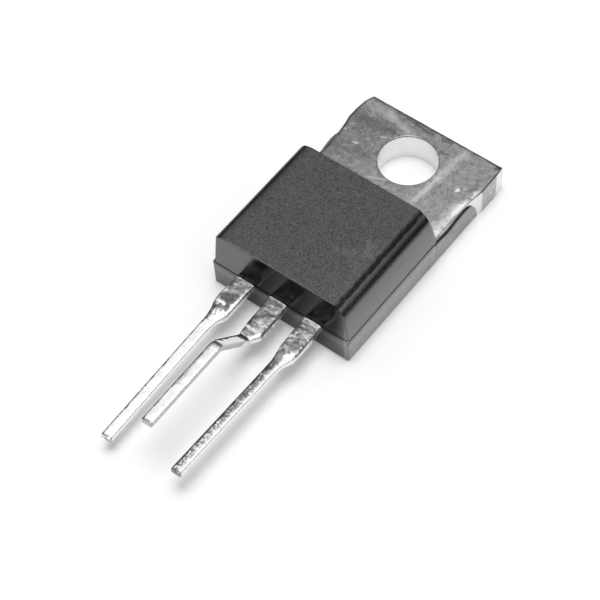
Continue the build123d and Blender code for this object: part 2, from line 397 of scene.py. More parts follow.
def new_group(name, inputs, outputs):
    """A shader node group with a vector input, float inputs (name, default) and float outputs.

    It is returned with its Nodes and with the nodes for its inputs and its outputs.
    """
    group = bpy.data.node_groups.new(name, "ShaderNodeTree")
    group.interface.new_socket("Vector", in_out="INPUT", socket_type="NodeSocketVector")
    for label, default in inputs:
        socket = group.interface.new_socket(label, in_out="INPUT", socket_type="NodeSocketFloat")
        socket.default_value = default
    for label in outputs:
        group.interface.new_socket(label, in_out="OUTPUT", socket_type="NodeSocketFloat")
    nodes = Nodes(group)
    return group, nodes, nodes.add("NodeGroupInput"), nodes.add("NodeGroupOutput")


def grain_group():
    """Fine grain: two sizes of noise added into one height, 0 to 1."""
    inputs = [("Scale", 20000.0), ("Coarse share", 0.4)]
    group, nodes, entry, out = new_group("Fine grain", inputs, ["Height"])
    fine = nodes.noise(entry.outputs["Vector"], entry.outputs["Scale"], 3.0)
    coarse = nodes.noise(entry.outputs["Vector"], nodes.times(entry.outputs["Scale"], 0.22), 3.0)
    height = nodes.mix_values(entry.outputs["Coarse share"], fine, coarse)
    group.links.new(height, out.inputs["Height"])
    return group


def blotch_group():
    """Blotches: a soft mask, 0 to 1, of stains of about one size with ragged edges."""
    inputs = [("Scale", 900.0), ("Cover", 0.5), ("Softness", 0.15)]
    group, nodes, entry, out = new_group("Blotches", inputs, ["Mask"])
    value = nodes.noise(entry.outputs["Vector"], entry.outputs["Scale"], 7.0, 0.6, 0.4)
    low = nodes.math("SUBTRACT", entry.outputs["Cover"], entry.outputs["Softness"])
    high = nodes.math("ADD", entry.outputs["Cover"], entry.outputs["Softness"])
    group.links.new(nodes.ramp(value, low, high), out.inputs["Mask"])
    return group


def scratch_group():
    """Scratches: thin broken lines, 0 to 1, from noise that is stretched along X."""
    group, nodes, entry, out = new_group("Scratches", [("Scale", 5000.0), ("Cover", 0.64)], ["Mask"])
    stretched = nodes.add("ShaderNodeMapping", {"Vector": entry.outputs["Vector"], "Scale": (0.06, 1.0, 1.0)})
    lines = nodes.noise(stretched.outputs["Vector"], entry.outputs["Scale"], 2.0)
    high = nodes.math("ADD", entry.outputs["Cover"], 0.06)
    group.links.new(nodes.ramp(lines, entry.outputs["Cover"], high), out.inputs["Mask"])
    return group


def shared_group(name):
    """One of the shared groups, built the first time that a material asks for it."""
    makers = {"Fine grain": grain_group, "Blotches": blotch_group, "Scratches": scratch_group,
              "Ragged ground": ragged_group, "Mark": mark_group}
    return bpy.data.node_groups.get(name) or makers[name]()


def group_node(nodes, name, vector, **values):
    """Places a shared group in a material and feeds it. An underscore in a keyword stands for a space."""
    inputs = {key.replace("_", " "): value for key, value in values.items()}
    return nodes.add("ShaderNodeGroup", {"Vector": vector, **inputs}, node_tree=shared_group(name))


def use_group(nodes, name, vector, **values):
    """The output of a shared group that is placed in a material with its own values."""
    return group_node(nodes, name, vector, **values).outputs[0]


def new_material(name):
    """An empty material, its Nodes, its Principled BSDF and its object coordinates."""
    material = bpy.data.materials.new(name)
    material.use_nodes = True
    material.node_tree.nodes.clear()
    nodes = Nodes(material.node_tree)
    shader = nodes.add("ShaderNodeBsdfPrincipled")
    output = nodes.add("ShaderNodeOutputMaterial")
    material.node_tree.links.new(shader.outputs[0], output.inputs["Surface"])
    return material, nodes, shader, nodes.place()


def connect(nodes, shader, **sockets):
    """Links or sets sockets of the shader. An underscore in a keyword stands for a space."""
    for key, value in sockets.items():
        nodes.feed(shader.inputs[key.replace("_", " ")], value)


def bump(nodes, height, distance, strength=1.0):
    """A normal from a height of 0 to 1 that stands for `distance` metres."""
    node = nodes.add("ShaderNodeBump", {"Height": height, "Distance": distance, "Strength": strength})
    return node.outputs["Normal"]


# ---- Rubbed and stained marks ------------------------------------------------------

def ragged_group():
    """The ground that marks are laid on: places pushed about by noise, and a ragged share of their width.

    The place loses its Z, so that a mark lies on every surface above or below its line.
    """
    group, nodes, entry, out = new_group("Ragged ground", [("Wander", 1.0)], ["Share"])
    group.interface.new_socket("Place", in_out="OUTPUT", socket_type="NodeSocketVector")
    here = entry.outputs["Vector"]
    clouds = nodes.add("ShaderNodeTexNoise", {"Vector": here, "Scale": 1500.0, "Detail": 4.0})
    push = nodes.vector("SUBTRACT", clouds.outputs["Color"], grey(0.5))
    push = nodes.scale(nodes.vector("MULTIPLY", push, (0.5 * MM, 0.5 * MM, 0.0)), entry.outputs["Wander"])
    place = nodes.vector("ADD", nodes.vector("MULTIPLY", here, (1.0, 1.0, 0.0)), push)
    share = nodes.ramp(nodes.noise(here, 2200.0, 5.0, 0.7), 0.3, 0.7, 0.25, 1.0)
    group.links.new(share, out.inputs["Share"])
    group.links.new(place, out.inputs["Place"])
    return group


def mark_group():
    """A mark: 1 near the line from Start to End and 0 from a width away. Vector is a place on the ground.

    The distance is from the place to the nearest one on the line, start + t (end - start), with t in 0 to 1.
    """
    inputs = [("Width", 0.3 * MM), ("Softness", 1.0), ("Share", 1.0)]
    group, nodes, entry, out = new_group("Mark", inputs, ["Mask"])
    for label in ("Start", "End"):
        group.interface.new_socket(label, in_out="INPUT", socket_type="NodeSocketVector")
    way = nodes.vector("SUBTRACT", entry.outputs["End"], entry.outputs["Start"])
    gone = nodes.vector("SUBTRACT", entry.outputs["Vector"], entry.outputs["Start"])
    along = nodes.math("DIVIDE", nodes.vector("DOT_PRODUCT", gone, way),
                       nodes.vector("DOT_PRODUCT", way, way), clamp=True)
    distance = nodes.vector("DISTANCE", gone, nodes.scale(way, along))
    reach = nodes.times(entry.outputs["Width"], entry.outputs["Share"])
    full = nodes.times(reach, nodes.inverse(entry.outputs["Softness"]))
    group.links.new(nodes.ramp(distance, reach, full), out.inputs["Mask"])
    return group


def marks_ground(nodes, vector, wander=1.0):
    """Places the ragged ground in a material: the place and the share for the marks that are laid on it."""
    node = group_node(nodes, "Ragged ground", vector, Wander=wander)
    return node.outputs["Place"], node.outputs["Share"]


def use_mark(nodes, ground, start, end, width, softness=1.0):
    """One mark on a ground, between two points given as X and Y in millimetres."""
    place, share = ground
    return use_group(nodes, "Mark", place, Share=share, Start=(start[0] * MM, start[1] * MM, 0.0),
                     End=(end[0] * MM, end[1] * MM, 0.0), Width=width * MM, Softness=softness)


def lay_marks(nodes, ground, marks, base, rubbed_and_highlighted, stained_and_shaded, softness=1.0):
    """A base colour with marks laid over it: rubs and painted highlights where the level is above 0,
    and otherwise stains and painted shade.
    """
    for start, end, width, level in marks:
        mark = nodes.times(use_mark(nodes, ground, start, end, width, softness), abs(level))
        base = nodes.mix(mark, base, rubbed_and_highlighted if level > 0 else stained_and_shaded)
    return base


# ---- Moulding compound -------------------------------------------------------------

# Rubs and a painted highlight: start and end (X, Y) and width in millimetres,
# then a level, which is how much they show.
BODY_RUBS_AND_HIGHLIGHT = [
    # the first is a painted highlight along the edge where the top steps down to the right rim; the rest are
    # rubs
    ((3.72, -7.6), (3.74, -12.6), 0.16, 0.10),
    ((3.3, -8.2), (3.4, -12.4), 0.9, 0.06),
    ((2.9, -8.1), (3.3, -8.9), 0.8, 0.16),
    ((1.7, -9.5), (2.6, -9.1), 0.8, 0.12),
    ((-0.9, -6.1), (0.5, -5.5), 0.10, 0.12),
]
# the right side's dark line under the parting plane is painted shade
PARTING_SHADE = FRAME_TOP - 0.18 * MM   # middle of the right side's dark line, under the parting plane


def epoxy_colour(nodes, place, y, elsewhere, haze, dust, settings):
    """The compound's colour, with haze, a paler near end, scratches, dust, rubs and a painted highlight."""
    dark = tuple(settings.epoxy)
    pale = tuple(min(1.0, 1.7 * level + 0.004) for level in dark)
    scratches = use_group(nodes, "Scratches", place, Scale=9000.0, Cover=0.70)
    # paler towards the near end
    paler_near_end = nodes.times(nodes.ramp(y, -9.0 * MM, BODY_LOW.y + 0.3 * MM, 0.0, 0.6), elsewhere)
    shade = nodes.math("ADD", nodes.times(haze, 0.5), paler_near_end, clamp=True)
    base = nodes.mix(nodes.times(scratches, 0.25), nodes.mix(shade, dark, pale), grey(0.10))
    base = nodes.mix(nodes.times(dust, elsewhere, 0.5), base, grey(0.08))
    return lay_marks(nodes, marks_ground(nodes, place), BODY_RUBS_AND_HIGHLIGHT, base, grey(0.3), dark)


def epoxy_shade_and_pits(nodes, place, x, y, z, near_face, side_line):
    """Painted shade, so that less light is thrown back: the near face, both rims, the side's line; and the
    top's pits.
    """
    pits = nodes.times(nodes.ramp(nodes.noise(place, 9500.0, 3.0, 0.7), 0.54, 0.38, 0.0, 0.58),
                       nodes.ramp(z, BODY_HIGH.z - 0.3 * MM, BODY_HIGH.z - 0.1 * MM, 0.55, 1.0),
                       nodes.fade(near_face, 1.0, 0.15))
    leaning = nodes.math("SUBTRACT", x, nodes.times(nodes.math("SUBTRACT", z, FRAME_TOP), 0.45))
    # painted shade on the near face beside and between the leads, for the shadowed floor that it mirrors
    front = nodes.times(nodes.zone(leaning, -3.4, -2.7), nodes.zone(x, 4.95, 3.9), near_face,
                        nodes.zone(z, 1.75, 1.95, 0.65, 1.0))
    # painted shade along both rims
    left_rim = nodes.times(nodes.zone(x, -4.3, -4.45), nodes.zone(y, -12.4, -7.0, 0.0, 0.6))
    right_rim = nodes.times(nodes.zone(x, 3.8, 3.92), nodes.zone(y, -11.5, -6.0, 0.0, 0.5))
    rims = nodes.times(nodes.highest(left_rim, right_rim), nodes.zone(z, 4.0, 4.2))
    return nodes.highest(front, pits, rims, nodes.times(side_line, 0.3))


def epoxy_smooth(nodes, x, z, settings):
    """Where the mould was polished and not blasted: the rims along both sides, and all but the top."""
    rim_start = TOP_X[1] - settings.rim_width
    return nodes.highest(nodes.ramp(x, rim_start - 0.04 * MM, rim_start),
                         nodes.ramp(x, TOP_X[0] + 0.55 * MM, TOP_X[0] + 0.3 * MM),
                         nodes.ramp(z, BODY_HIGH.z - 0.1 * MM, BODY_HIGH.z - 0.2 * MM))


def epoxy_material(settings):
    """Black compound: blasted top, smoother rims and sides, glossy near face, dusty rails, painted shade and
    reflection.
    """
    material, nodes, shader, place = new_material("black_epoxy")
    x, y, z = nodes.split(place)
    grain = use_group(nodes, "Fine grain", place, Scale=15000.0, Coarse_share=0.25)
    haze = use_group(nodes, "Blotches", place, Scale=420.0, Cover=0.52, Softness=0.2)
    dust = nodes.ramp(nodes.noise(place, 7500.0, 3.0, 0.7), 0.46, 0.64)
    near_face = nodes.ramp(y, BODY_LOW.y + 0.34 * MM, BODY_LOW.y + 0.2 * MM)
    elsewhere = nodes.inverse(near_face)
    side_line = nodes.times(nodes.zone(x, 4.9, 5.0), nodes.band(z, PARTING_SHADE, 0.24 * MM, 0.1 * MM))
    base = epoxy_colour(nodes, place, y, elsewhere, haze, dust, settings)
    base = nodes.mix(nodes.times(near_face, 0.5), base, grey(0.035))
    # painted shade on the near face, the rims and the side's line, with the top's darker pits
    shade_and_pits = epoxy_shade_and_pits(nodes, place, x, y, z, near_face, side_line)
    base = nodes.mix(shade_and_pits, base, grey(0.03))
    rails = nodes.times(nodes.zone(y, -4.15, -4.0), nodes.zone(nodes.math("ABSOLUTE", x), 4.8, 4.87),
                        nodes.fade(dust, 0.25, 1.0))
    base = nodes.mix(nodes.times(rails, nodes.fade(haze, 0.5, 1.0)), base, grey(0.43))
    # painted reflection: a paler band low on the near face, for the lit floor that it mirrors
    painted_floor_reflection = nodes.times(near_face, nodes.band(z, 1.5 * MM, 0.35 * MM, 0.12 * MM))
    base = nodes.mix(nodes.times(painted_floor_reflection, 0.5), base, grey(0.16))
    smooth = epoxy_smooth(nodes, x, z, settings)
    blasted = nodes.ramp(grain, 0.3, 0.7, 0.5, 0.78)
    roughness = nodes.mix_values(near_face, nodes.mix_values(smooth, blasted, 0.18), 0.08)
    roughness = nodes.mix_values(rails, roughness, 0.5)
    depth = nodes.mix_values(nodes.highest(near_face, smooth), 1.0, 0.2)
    depth = nodes.mix_values(nodes.times(nodes.zone(z, 4.15, 3.95), elsewhere), depth, 0.9)
    lumpy = nodes.times(nodes.noise(place, 2600.0, 4.0, 0.6), rails, 4.0)
    relief = nodes.math("ADD", nodes.times(grain, depth), lumpy)
    right_side = nodes.times(nodes.zone(x, 4.62, 4.78), nodes.zone(z, 4.0, 1.9, 0.36, 1.0),
                             nodes.fade(dust, 1.0, 0.78), nodes.fade(side_line, 1.0, 0.5))
    connect(nodes, shader, Base_Color=base, Metallic=shade_and_pits, Roughness=roughness, IOR=1.95,
            Coat_Weight=right_side, Coat_Roughness=0.2, Normal=bump(nodes, relief, 0.04 * MM, 0.9))
    return material


# ---- Tinned strip and solder -------------------------------------------------------

# Marks on the tab, likewise. A level above 0 is a bright mark, and one below 0 is a dark one: mostly rubs and
# stains, with painted highlights and painted shade along some edges.
TAB_MARKS = [
    ((2.05, -2.3), (2.30, 0.1), 0.75, 0.30),
    ((2.34, 0.1), (2.5, 2.4), 0.75, 0.30),
    ((2.12, -2.2), (2.32, 0.0), 0.34, 0.25),
    ((-4.6, 2.35), (-2.9, 2.25), 0.9, 0.22),
    ((-2.9, 2.25), (-1.3, 1.85), 0.9, 0.22),
    ((-3.65, -0.72), (-3.3, -0.71), 0.22, 0.6),
    ((-4.68, -0.2), (-4.62, -0.3), 0.25, 0.7),
    ((-2.4, 0.55), (-2.15, 0.63), 0.22, 0.4),
    ((-1.2, -2.5), (-0.2, -2.05), 0.22, 0.35),
    ((3.78, -0.1), (3.86, -0.05), 0.26, 1.0),
    ((4.10, 0.15), (4.2, 0.2), 0.20, 0.5),
    # painted highlights along the right edge, up to and on the notch's roll
    ((4.4, -3.9), (4.55, -1.2), 1.0, 0.45),
    ((4.65, -1.7), (4.85, -0.6), 0.5, 0.7),
    ((4.5, -4.0), (4.6, -3.4), 0.60, 0.60),
    ((4.72, -1.0), (4.95, 0.5), 0.40, 0.40),
    ((-1.8, 2.62), (0.1, 2.56), 0.26, -0.65),
    ((0.9, 2.56), (1.5, 2.62), 0.26, -0.7),
    ((1.3, 1.66), (1.75, 1.75), 0.34, -0.6),
    ((4.3, 0.1), (4.75, 0.7), 0.3, -0.4),
    ((-4.3, 1.1), (-2.1, 1.2), 1.3, -0.45),
    ((-4.4, -1.6), (-2.7, -1.2), 1.2, -0.3),
    # painted shade of the edges along the free end, at its right corner and down the left side
    ((-4.7, 2.8), (4.9, 2.8), 0.16, -0.6),
    ((4.8, 2.7), (4.95, 2.85), 0.35, -0.7),
    ((-5.0, 2.6), (-5.0, -3.5), 0.3, -0.35),
]

# Bright and dark marks on the leads, likewise: lumps and flux, and painted highlights and painted shade along
# the leads' edges.
SOLDER_MARKS = [
    ((-3.2, -13.12), (-1.95, -13.12), 0.23, 0.6),
    ((-0.75, -13.12), (0.5, -13.12), 0.23, 0.7),
    ((1.85, -13.15), (2.95, -13.15), 0.28, 0.8),
    ((-3.3, -14.1), (-3.2, -14.35), 0.31, 0.7),
    # painted highlight down the left lead's right edge
    ((-2.05, -14.0), (-2.05, -15.3), 0.14, 0.9),
    ((-3.25, -15.15), (-2.6, -15.1), 0.16, 0.7),
    ((-2.85, -16.2), (-2.6, -15.6), 0.20, 0.9),
    ((-2.8, -15.3), (-2.5, -15.6), 0.25, -0.55),
    # painted highlight over the left lead's right shoulder
    ((-2.2, -15.6), (-2.3, -16.4), 0.45, 0.9),
    ((-0.75, -15.62), (0.45, -15.68), 0.23, 1.0),
    ((0.33, -15.85), (0.4, -15.9), 0.34, 1.0),
    ((0.0, -15.0), (0.3, -15.35), 0.35, 0.4),
    ((2.12, -14.35), (2.15, -14.35), 0.23, 0.9),
    ((1.9, -14.6), (1.95, -14.75), 0.21, 0.9),
    ((1.9, -15.85), (1.92, -15.8), 0.35, 1.0),
    # painted highlight down the right lead's right wall and shoulder
    ((2.85, -15.75), (2.85, -17.2), 0.56, 1.0),
    ((-2.85, -14.65), (-2.4, -14.4), 0.59, -0.7),
    ((-2.5, -14.9), (-2.3, -14.7), 0.42, -0.6),
    ((-2.35, -15.2), (-2.3, -15.45), 0.23, -0.7),
    # painted shade along the left lead's left edge
    ((-3.2, -15.4), (-3.0, -16.2), 0.17, -0.8),
    ((-2.75, -15.7), (-2.65, -16.0), 0.12, -0.6),
    ((-0.5, -14.75), (-0.05, -14.35), 0.35, -0.7),
    ((-0.68, -14.9), (-0.62, -15.3), 0.23, -0.8),
    ((-0.62, -15.3), (-0.3, -15.5), 0.17, -0.6),
    ((0.56, -14.3), (0.58, -15.6), 0.14, -0.6),
    ((0.2, -14.25), (0.45, -14.1), 0.17, -0.6),
    ((-0.5, -15.95), (0.05, -16.0), 0.48, -0.65),
    ((-0.3, -16.2), (-0.1, -16.3), 0.31, -0.5),
    # painted dark reflection along the left edge of the centre lead's rising face
    ((-0.5, -16.5), (-0.52, -18.5), 0.31, -0.9),
    ((2.05, -14.8), (2.9, -14.45), 0.16, -0.6),
    ((2.5, -14.95), (2.6, -14.9), 0.25, -0.6),
    ((2.28, -15.95), (2.3, -17.2), 0.56, -0.65),
    ((2.28, -17.2), (2.2, -21.2), 0.45, -0.5),
    # painted shade on the left half of the centre lead's narrow part
    ((-0.45, -18.95), (-0.48, -22.2), 0.36, -0.35),
    # painted shade down the narrow parts' left edges and round their tips
    ((2.12, -16.6), (1.99, -25.8), 0.24, -0.9),
    ((-2.98, -15.5), (-2.93, -16.5), 0.26, -0.75),
    ((-3.0, -16.4), (-3.02, -26.1), 0.18, -0.85),
    ((-0.56, -19.0), (-0.56, -25.1), 0.2, -0.8),
    ((-3.0, -26.2), (-2.4, -26.2), 0.14, -0.7),
    ((-0.5, -25.2), (0.1, -25.2), 0.14, -0.7),
    ((2.0, -25.92), (2.6, -25.92), 0.14, -0.7),
]

# The painted dark reflection of the black body, round the left edge of the centre lead's rising face:
# start and end (X, Y) in millimetres.
RISING_DARK_REFLECTION = [((-0.5, -16.5), (-0.5, -18.4)), ((-0.5, -16.55), (0.05, -16.5))]
RIGHT_LEAD_SLANT = 0.0155       # how far the right lead's narrow part goes in X for each unit of Y


def tab_material(settings):
    """Dull tinned strip: mottled front with smears, rubs, stains, painted highlights and shade on some edges,
    brighter where it was sheared.
    """
    material, nodes, shader, place = new_material("tinned_strip")
    x, y, z = nodes.split(place)
    mottle = use_group(nodes, "Blotches", place, Scale=900.0, Cover=0.5, Softness=0.25)
    specks = use_group(nodes, "Blotches", place, Scale=4200.0, Cover=0.56, Softness=0.16)
    grain = use_group(nodes, "Fine grain", place, Scale=12000.0, Coarse_share=0.45)
    smears = use_group(nodes, "Scratches", place, Scale=2600.0, Cover=0.6)
    dull, sheared = tuple(settings.tab_metal), tuple(settings.sheared_metal)
    light = scaled(dull, 1.45)
    face = nodes.mix(mottle, dull, light)
    worn = nodes.math("ADD", nodes.zone(x, -3.0, 3.6, 0.0, 0.75), nodes.zone(y, 0.5, -2.6, 0.0, 0.25))
    face = nodes.mix(worn, face, scaled(dull, 1.75))
    face = nodes.mix(nodes.times(specks, 0.55), face, scaled(dull, 0.5))
    face = nodes.mix(nodes.ramp(grain, 0.45, 0.65, 0.0, 0.6), face, scaled(dull, 2.4))
    face = nodes.mix(nodes.times(smears, 0.3), face, light)
    face = lay_marks(nodes, marks_ground(nodes, place), TAB_MARKS, face, sheared, scaled(dull, 0.3))
    plain_side = nodes.times(nodes.zone(y, 0.55, 0.8), nodes.zone(y, 2.3, 2.15))
    on_side = nodes.zone(nodes.math("ABSOLUTE", x), 4.9, 5.05)
    streaked = nodes.times(plain_side, on_side, nodes.fade(smears, 0.75, 0.35))
    below_face = nodes.ramp(z, FRAME_TOP - 0.05 * MM, FRAME_TOP - 0.14 * MM)
    above_back = nodes.zone(z, 0.0, 0.004)
    base = nodes.mix(nodes.times(below_face, above_back, nodes.inverse(streaked)), face, sheared)
    height = nodes.math("ADD", grain, nodes.times(mottle, 0.8))
    connect(nodes, shader, Base_Color=base, Metallic=1.0, Roughness=nodes.ramp(grain, 0.3, 0.7, 0.26, 0.42),
            Normal=bump(nodes, height, 0.012 * MM, 0.6))
    return material


def solder_material(settings):
    """Solder dip: bright and a little lumpy, dull with flux on the wide parts, where the lumps have painted
    highlights and painted shade in their creases; where a lead rises it is white as a painted reflection.
    """
    material, nodes, shader, place = new_material("solder_dip")
    x, y, z = nodes.split(place)
    crust = nodes.noise(place, 2300.0, 5.0, 0.62, 0.3)
    lumps = nodes.noise(place, 3900.0, 4.0, 0.6)
    grain = use_group(nodes, "Fine grain", place, Scale=9000.0, Coarse_share=0.6)
    bright = tuple(settings.solder)
    dull = scaled(bright, 0.5)
    near_body = nodes.times(nodes.zone(y, -16.2, -15.7),
                            nodes.ramp(z, FRAME_TOP - 0.16 * MM, FRAME_TOP - 0.08 * MM))
    stained_and_shaded = nodes.mix(nodes.ramp(crust, 0.40, 0.62), scaled(bright, 0.33), dull)
    # painted highlights: the solder's own bright colour on the tops of the lumps
    stained_and_shaded = nodes.mix(nodes.ramp(lumps, 0.60, 0.68), stained_and_shaded, bright)
    # painted shade in the creases between the lumps
    crease_shade = nodes.band(crust, 0.5, 0.022, 0.004)
    stained_and_shaded = nodes.mix(nodes.times(crease_shade, 0.8), stained_and_shaded, grey(0.06))
    flecked = nodes.mix(nodes.ramp(lumps, 0.36, 0.28, 0.0, 0.35), bright, dull)
    base = nodes.mix(near_body, flecked, stained_and_shaded)
    slant = nodes.times(nodes.math("ADD", y, 17.2 * MM), RIGHT_LEAD_SLANT)
    across = nodes.math("SUBTRACT", x, slant)
    pitted = nodes.times(nodes.zone(across, 2.8, 2.35), nodes.zone(y, -16.2, -16.8),
                         nodes.zone(across, 1.7, 1.9),
                         nodes.ramp(nodes.noise(place, 5200.0, 4.0, 0.7), 0.40, 0.55))
    base = nodes.mix(nodes.times(pitted, 0.85), base, grey(0.10))
    ground = marks_ground(nodes, place, 0.5)
    base = lay_marks(nodes, ground, SOLDER_MARKS, base, bright, grey(0.05), 0.5)
    rising = nodes.times(nodes.zone(z, 2.2, 2.35), nodes.zone(z, 4.2, 4.05))
    # painted reflection: the rising face is made white and dull for the white light that it mirrors
    painted_rise_reflection = nodes.times(rising, nodes.zone(x, -0.55, -0.3, 0.6, 1.0))
    base = nodes.mix(painted_rise_reflection, base, grey(0.95))
    # painted dark reflection of the black body on the rising face
    for start, end in RISING_DARK_REFLECTION:
        dark_reflection = nodes.times(use_mark(nodes, ground, start, end, 0.34, 0.6), rising)
        base = nodes.mix(dark_reflection, base, grey(0.03))
    rough = nodes.mix_values(near_body, nodes.ramp(grain, 0.3, 0.7, 0.16, 0.34),
                             nodes.ramp(grain, 0.3, 0.7, 0.38, 0.55))
    rough = nodes.mix_values(rising, rough, 0.65)
    height = nodes.math("ADD", grain, nodes.times(crust, near_body, 3.0))
    connect(nodes, shader, Base_Color=base, Metallic=nodes.inverse(nodes.times(painted_rise_reflection, 0.95)),
            Roughness=rough, Normal=bump(nodes, height, 0.02 * MM, 0.7))
    return material


# ---- Pieces sealed in the body -----------------------------------------------------

def inner_material(name, base_colour, metallic, roughness):
    """Finish of a piece sealed in the epoxy: its colour, broken up by fine grain."""
    material, nodes, shader, place = new_material(name)
    grain = use_group(nodes, "Fine grain", place, Scale=15000.0)
    connect(nodes, shader, Base_Color=nodes.mix(grain, base_colour, scaled(base_colour, 0.8)),
            Metallic=metallic, Roughness=nodes.ramp(grain, 0.3, 0.7, roughness, roughness + 0.12))
    return material


# ---- Moulded body ------------------------------------------------------------------

NEAR_CORNER, FAR_CORNER = 0.12 * MM, 0.34 * MM
BOTTOM_GAP = 0.015 * MM     # the exposed metal stands this far proud of the plastic on the back
BOTTOM_ROUND, LEDGE_ROUND = 0.07 * MM, 0.03 * MM
NEAR_LEDGE = 0.06 * MM      # step from the lower half in to the upper one, on the near face
UPPER_FAR_Y, LOWER_FAR_Y = -3.9 * MM, -4.1 * MM
# Left and right X of the block at the parting plane, at the upper half's foot and at the top: the mould's
# halves are set a little aside from each other.
PARTING_X = BODY_LOW.x, BODY_HIGH.x
BASE_X = -4.99 * MM, 5.03 * MM
TOP_X = -4.91 * MM, 4.71 * MM
STEP_RUN = 0.3 * MM         # how wide the slope down to the rim is
FAR_BOW = 1.7               # above 1, the far wall starts upright and leans in more and more
WORN_GROWTH, STEP_LOSS = 0.04, 0.012    # share of its depth that each gains or loses for a millimetre of Y


def top_drop(x, y, near_y, far_y, settings):
    """How far the top lies under its middle: the right rim's step, and the rounds along all four edges.

    The left edge is worn: its round is stretched sideways and gets deeper towards the far end. The step down
    to the rim starts where the middle ends, along a line that wanders, and gets shallower the same way.
    """
    wander = 0.014 * MM * np.sin(y / (0.31 * MM)) + 0.012 * MM * np.sin(y / (0.117 * MM) + 1.3)
    from_left, from_right = np.maximum(x - TOP_X[0], 0), np.maximum(TOP_X[1] - x, 0)
    down = np.clip((settings.rim_width - from_right - wander) / STEP_RUN, 0, 1)
    step = settings.rim_drop * (0.8 * down + 0.2 * ease(down, 0, 1))
    worn = round_drop(from_left * settings.worn_drop / settings.worn_width, settings.worn_drop)
    worn *= 1 + WORN_GROWTH * (y / MM + 9)
    step *= 1 - STEP_LOSS * (y / MM + 10)
    drop = step + worn + round_drop(from_right, settings.rim_round)
    return drop + round_drop(y - near_y, settings.top_round) + round_drop(far_y - y, settings.top_round)


def round_drop(distance, radius):
    """How far a round of radius r lies under a flat, at the distance s from its edge.

    It is r - sqrt(r^2 - (r - s)^2) for s under r, and nothing past it.
    """
    lean = np.clip(radius - distance, 0, radius)
    return radius - np.sqrt(radius ** 2 - lean ** 2)


def lower_half(settings):
    """Rings across the back, round its edge, up the drafted wall and over the ledge."""
    angle = np.linspace(0, math.pi / 2, 6)
    half = (PARTING_X[1] - PARTING_X[0]) / 2
    flat_in = np.append(np.linspace(0.97, 0.1, 6) * half, 0.25 * MM)
    back_in = np.concatenate([flat_in, BOTTOM_ROUND * (1 - np.sin(angle))])
    back_z = np.concatenate([0 * flat_in, BOTTOM_ROUND * (1 - np.cos(angle))]) + BOTTOM_GAP
    wall_z = np.linspace(0.2 * MM, FRAME_TOP - 2 * LEDGE_ROUND, 12)
    ledge_in = np.concatenate([LEDGE_ROUND * (1 - np.cos(angle)), [NEAR_LEDGE - 0.01 * MM]])
    ledge_z = np.concatenate([FRAME_TOP - LEDGE_ROUND * (1 - np.sin(angle)), [FRAME_TOP]])
    inset = np.concatenate([back_in, 0 * wall_z, ledge_in])
    level = np.concatenate([back_z, wall_z, ledge_z])
    drawn_in = inset + settings.lower_draft * (1 - level / FRAME_TOP)
    rings = ring_stack(PARTING_X[0] + drawn_in, PARTING_X[1] - drawn_in, BODY_LOW.y + drawn_in,
                       LOWER_FAR_Y - drawn_in)
    return raised(rings, level[:, None])


def upper_half(settings):
    """Rings up the drafted wall, where each column goes to its own height, and then inwards over the top."""
    wall_near, top_z = BODY_LOW.y + NEAR_LEDGE, BODY_HIGH.z
    top_near, top_far = wall_near + settings.near_inset, UPPER_FAR_Y - settings.far_inset
    share = np.linspace(0, 1, 26)
    left, right = (BASE_X[side] + (TOP_X[side] - BASE_X[side]) * share for side in (0, 1))
    wall = ring_stack(left, right, wall_near + settings.near_inset * share,
                      UPPER_FAR_Y - settings.far_inset * share ** FAR_BOW)
    edge = wall[-1]
    edge_z = top_z - top_drop(edge[:, 0], edge[:, 1], top_near, top_far, settings)
    wall = raised(wall, FRAME_TOP + share[:, None] * (edge_z - FRAME_TOP)[None, :])
    # The rings over the top are close together on the round and on the step, where the form turns.
    fine = settings.rim_round * (1 - np.cos(np.linspace(0, math.pi / 2, 20)[1:]))
    rim = settings.rim_width
    offsets = np.concatenate([[0.003 * MM, 0.01 * MM, 0.03 * MM], fine,
                              np.linspace(fine[-1] + 0.04 * MM, rim - STEP_RUN - 0.03 * MM, 4),
                              np.linspace(rim - STEP_RUN - 0.015 * MM, rim + 0.03 * MM, 18),
                              [rim + 0.1 * MM, rim + 0.2 * MM]])
    offsets = np.unique(offsets)
    over = ring_stack(TOP_X[0] + offsets, TOP_X[1] - offsets, top_near + offsets, top_far - offsets)
    centre = np.array([sum(TOP_X) / 2, (top_near + top_far) / 2])
    shrink = np.linspace(0.97, 0.03, 24)[:, None, None]
    over = np.concatenate([over, centre + (over[-1][None] - centre) * shrink])
    over_z = top_z - top_drop(over[..., 0], over[..., 1], top_near, top_far, settings)
    return np.concatenate([wall, raised(over, over_z)])


def body_shell(settings):
    """The moulded block as rings from the middle of the back to the middle of the top."""
    return np.concatenate([lower_half(settings), upper_half(settings)])


def ring_stack(left_x, right_x, near_y, far_y):
    """Rings between two X and two Y, with the body's corner radii, and points closer towards the corners."""
    end_half = np.concatenate([np.linspace(0, 0.78, 26), np.linspace(0.79, 0.996, 52)])
    end_shares = 0.5 + 0.5 * np.concatenate([-end_half[:0:-1], end_half])
    side_shares = np.linspace(0, 1, 96)[1:-1]
    radii = (NEAR_CORNER, FAR_CORNER, FAR_CORNER, NEAR_CORNER)
    rings = plan_rings((right_x - left_x) / 2, near_y, far_y, radii, end_shares, side_shares, 9)
    rings[..., 0] += ((left_x + right_x) / 2)[:, None]
    return rings


